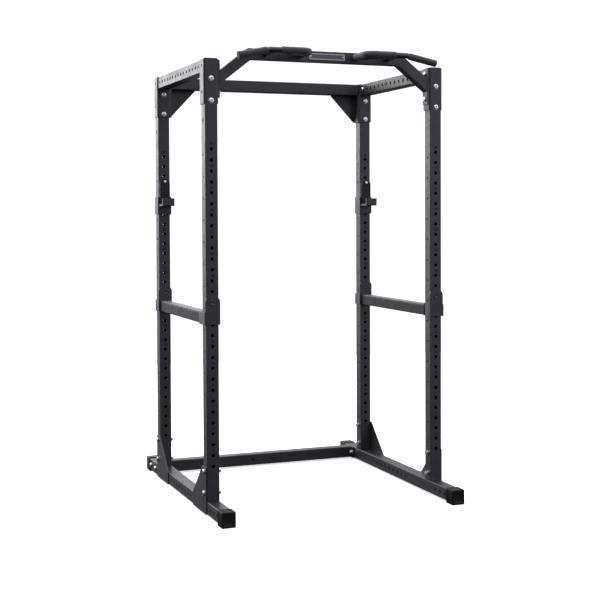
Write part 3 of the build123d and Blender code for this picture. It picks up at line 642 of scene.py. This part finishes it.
def sleeve(name, path, node_name):
    """Foam sleeve with rounded lips over a grip tube."""
    points = resample([Vector(p) for p in path], SLEEVE_STEP)
    stations = frames_along(points)
    total = SLEEVE_STEP * (len(points) - 1)
    radii = []
    for i in range(len(points)):
        from_end = min(i * SLEEVE_STEP, total - i * SLEEVE_STEP)
        turn = max(0.0, 1.0 - from_end / LIP)
        squeeze = LIP_SQUEEZE * (1.0 - math.sqrt(max(0.0, 1.0 - turn * turn)))
        swell = 0.00012 * math.sin(i * 0.31) + 0.00008 * math.sin(i * 0.93 + 1.0)
        radii.append(SLEEVE_R - 0.0003 + swell - squeeze)
    bm = bmesh.new()
    outer = tube_rings(bm, stations, radii, 40, 0.00006)
    inner = tube_rings(bm, [stations[-1], stations[0]], [GRIP_R + 0.00005] * 2, 40)
    skin_rings(bm, outer + inner[:1])
    skin_rings(bm, [inner[1], outer[0]])
    skin_rings(bm, inner)
    piece = finish_piece(name, bm, FOAM, "frame")
    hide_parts(node_name)


def slope_point(sx, x):
    """Point on a grip's sloping outer run."""
    drop = (GRIP_Z - GRIP_TIP_Z) / (GRIP_TIP_X - GRIP_KNEE_X)
    return (sx * x, GRIP_Y, GRIP_Z - drop * (x - GRIP_KNEE_X))


def inner_path(sx):
    """Centre line of the inner sleeve: along the bar, round the bend, back towards the beam."""
    path = [(sx * INNER_SLEEVE_X, GRIP_Y, GRIP_Z)]
    for k in range(BEND_STEPS + 1):
        angle = math.pi / 2 * k / BEND_STEPS
        x = GRIP_INNER_X + GRIP_BEND_R * (1 - math.sin(angle))
        y = GRIP_Y + GRIP_BEND_R * (1 - math.cos(angle))
        path.append((sx * x, y, GRIP_Z))
    path.append((sx * GRIP_INNER_X, GRIP_BACK_Y, GRIP_Z))
    return path


def make_sleeves():
    for side, sx in (("left", -1), ("right", 1)):
        outer_path = [slope_point(sx, x) for x in OUTER_SLEEVE_X]
        sleeve(f"foam_outer_{side}", outer_path, "grip_sleeves_outer")
        sleeve(f"foam_inner_{side}", inner_path(sx), f"grip_sleeve_inner_{side}")


# ------------------------------------------------------------ rubber shoes
def rounded_ring(bm, x, y, z, width, height, radius, arc=5):
    """Ring of vertices round a rounded rectangle facing Y."""
    ring = []
    corners = ((1, 1), (-1, 1), (-1, -1), (1, -1))
    for quarter, (cx, cz) in enumerate(corners):
        for k in range(arc + 1):
            angle = math.pi / 2 * (quarter + k / arc)
            px = x + cx * (width / 2 - radius) + radius * math.cos(angle)
            pz = z + cz * (height / 2 - radius) + radius * math.sin(angle)
            ring.append(bm.verts.new((px, y, pz)))
    return ring


def add_bar(bm, lo, hi, bevel):
    """Small block with rounded edges between two corners."""
    made = bmesh.ops.create_cube(bm, size=1.0)["verts"]
    lo, hi = Vector(lo), Vector(hi)
    for vertex in made:
        vertex.co = Vector((lo[i] + (vertex.co[i] + 0.5) * (hi[i] - lo[i]) for i in range(3)))
    edges = list({e for v in made for e in v.link_edges})
    bmesh.ops.bevel(bm, geom=edges, offset=bevel, segments=2, affect="EDGES", profile=0.7)


SHOE_WIDE, SHOE_TALL, SHOE_MID_Z = 0.068, 0.074, 0.037
# distance along the rail from the centre, inset from the outline
SHOE_PROFILE = [(0.6180, 0.0012), (0.6188, 0.0), (0.6225, 0.0), (0.6235, 0.0008),
                (0.6760, 0.0008), (0.6778, 0.0013), (0.6792, 0.0026), (0.6800, 0.0046),
                (0.6800, 0.0095), (0.6788, 0.0108)]
MOUTH_Y, MOUTH_SIZE, MOUTH_CORNER, MOUTH_Z = (0.6180, 0.6700), 0.0606, 0.0043, 0.040
RIB_HEIGHTS, RIB_HALF, RIB_WIDE = (0.020, 0.0315, 0.043, 0.0545), 0.0022, 0.021
RIB_Y = (0.6780, 0.6797)


def add_shoe(bm, x, sy):
    rings = []
    for y, inset in SHOE_PROFILE:
        corner = max(0.0015, 0.0055 - inset * 0.3)
        wide, tall = SHOE_WIDE - 2 * inset, SHOE_TALL - 2 * inset
        rings.append(rounded_ring(bm, x, sy * y, SHOE_MID_Z, wide, tall, corner))
    mouth = [rounded_ring(bm, x, sy * y, MOUTH_Z, MOUTH_SIZE, MOUTH_SIZE, MOUTH_CORNER)
             for y in MOUTH_Y]
    skin_rings(bm, [mouth[1], mouth[0]] + rings)
    bm.faces.new(rings[-1])
    bm.faces.new(mouth[1])
    low_y, high_y = sorted(sy * y for y in RIB_Y)
    for z in RIB_HEIGHTS:
        add_bar(bm, (x - RIB_WIDE, low_y, z - RIB_HALF), (x + RIB_WIDE, high_y, z + RIB_HALF), 0.0006)


def make_shoes():
    """Rubber shoes on the foot rail ends: lipped mouth, rounded end, recessed ribbed panel."""
    bm = bmesh.new()
    for sx in (-1, 1):
        for sy in (-1, 1):
            add_shoe(bm, sx * UPRIGHT_X, sy)
    piece = finish_piece("rubber_shoes", bm, RUBBER, "frame")
    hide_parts("foot_caps")


# ------------------------------------------------------------ sign, numbers
BORDER_INSET, BORDER_LINE, BORDER_PROUD = 0.0024, 0.0028, 0.0005
RIVET_X = 0.081
RIVET_RISES, RIVET_RADII = (-0.0002, 0.0006, 0.0013, 0.0017), (0.0031, 0.0030, 0.0022, 0.0008)
NUMBER_SIZE, NUMBER_WEIGHT, NUMBER_THICK = 0.0175, 0.0004, 0.00008
NUMBER_RISE = 0.0235            # a number's middle above its own hole


def make_sign():
    """Raised border and two rivets on the blank sign."""
    lo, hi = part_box("sign_plate")
    bm = bmesh.new()
    x0, x1 = lo.x + BORDER_INSET, hi.x - BORDER_INSET
    z0, z1 = lo.z + BORDER_INSET, hi.z - BORDER_INSET
    y0, y1 = lo.y - BORDER_PROUD, lo.y + 0.0002
    line = BORDER_LINE
    add_bar(bm, (x0, y0, z0), (x1, y1, z0 + line), 0.0002)
    add_bar(bm, (x0, y0, z1 - line), (x1, y1, z1), 0.0002)
    add_bar(bm, (x0, y0, z0 + line), (x0 + line, y1, z1 - line), 0.0002)
    add_bar(bm, (x1 - line, y0, z0 + line), (x1, y1, z1 - line), 0.0002)
    finish_piece("sign_border", bm, SIGN_LINE, "frame")
    bm = bmesh.new()
    for sx in (-1, 1):
        centre = Vector((sx * RIVET_X, lo.y, BEAM_Z))
        add_boss(bm, centre, RIVET_RISES, RIVET_RADII, 20)
    finish_piece("sign_rivets", bm, ZINC, "frame")


def number_mesh(level):
    """Mesh of one level number, lying flat and centred."""
    curve = bpy.data.curves.new("number", "FONT")
    curve.body = str(level)
    curve.size = NUMBER_SIZE
    curve.offset = NUMBER_WEIGHT
    curve.align_x, curve.align_y = "CENTER", "CENTER"
    curve.extrude = NUMBER_THICK
    text = bpy.data.objects.new("number", curve)
    mesh = bpy.data.meshes.new_from_object(text)
    bpy.data.objects.remove(text)
    return mesh


def make_numbers():
    """Plain level numbers printed between the holes on the uprights' front faces."""
    hidden = {"front": {*SPOTTER_LEVELS}, "rear": {*SPOTTER_LEVELS, *JCUP_LEVELS}}
    for end, sy in (("front", -1), ("rear", 1)):
        for side, sx in (("left", -1), ("right", 1)):
            bm = bmesh.new()
            face_y = sy * UPRIGHT_Y - HALF
            for level in range(2, LEVELS + 1, 2):
                if level in hidden[end]:
                    continue
                mesh = number_mesh(level)
                z = FIRST_LEVEL + LEVEL_PITCH * (level - 1) + NUMBER_RISE
                place = Matrix.Translation((sx * UPRIGHT_X, face_y - NUMBER_THICK, z))
                mesh.transform(place @ Matrix.Rotation(math.pi / 2, 4, "X"))
                bm.from_mesh(mesh)
                bpy.data.meshes.remove(mesh)
            name = f"level_numbers_{end}_{side}"
            finish_piece(name, bm, PRINT, "frame", smooth=False)


frame_welds()
moving_welds()
make_sleeves()
make_shoes()
make_sign()
make_numbers()
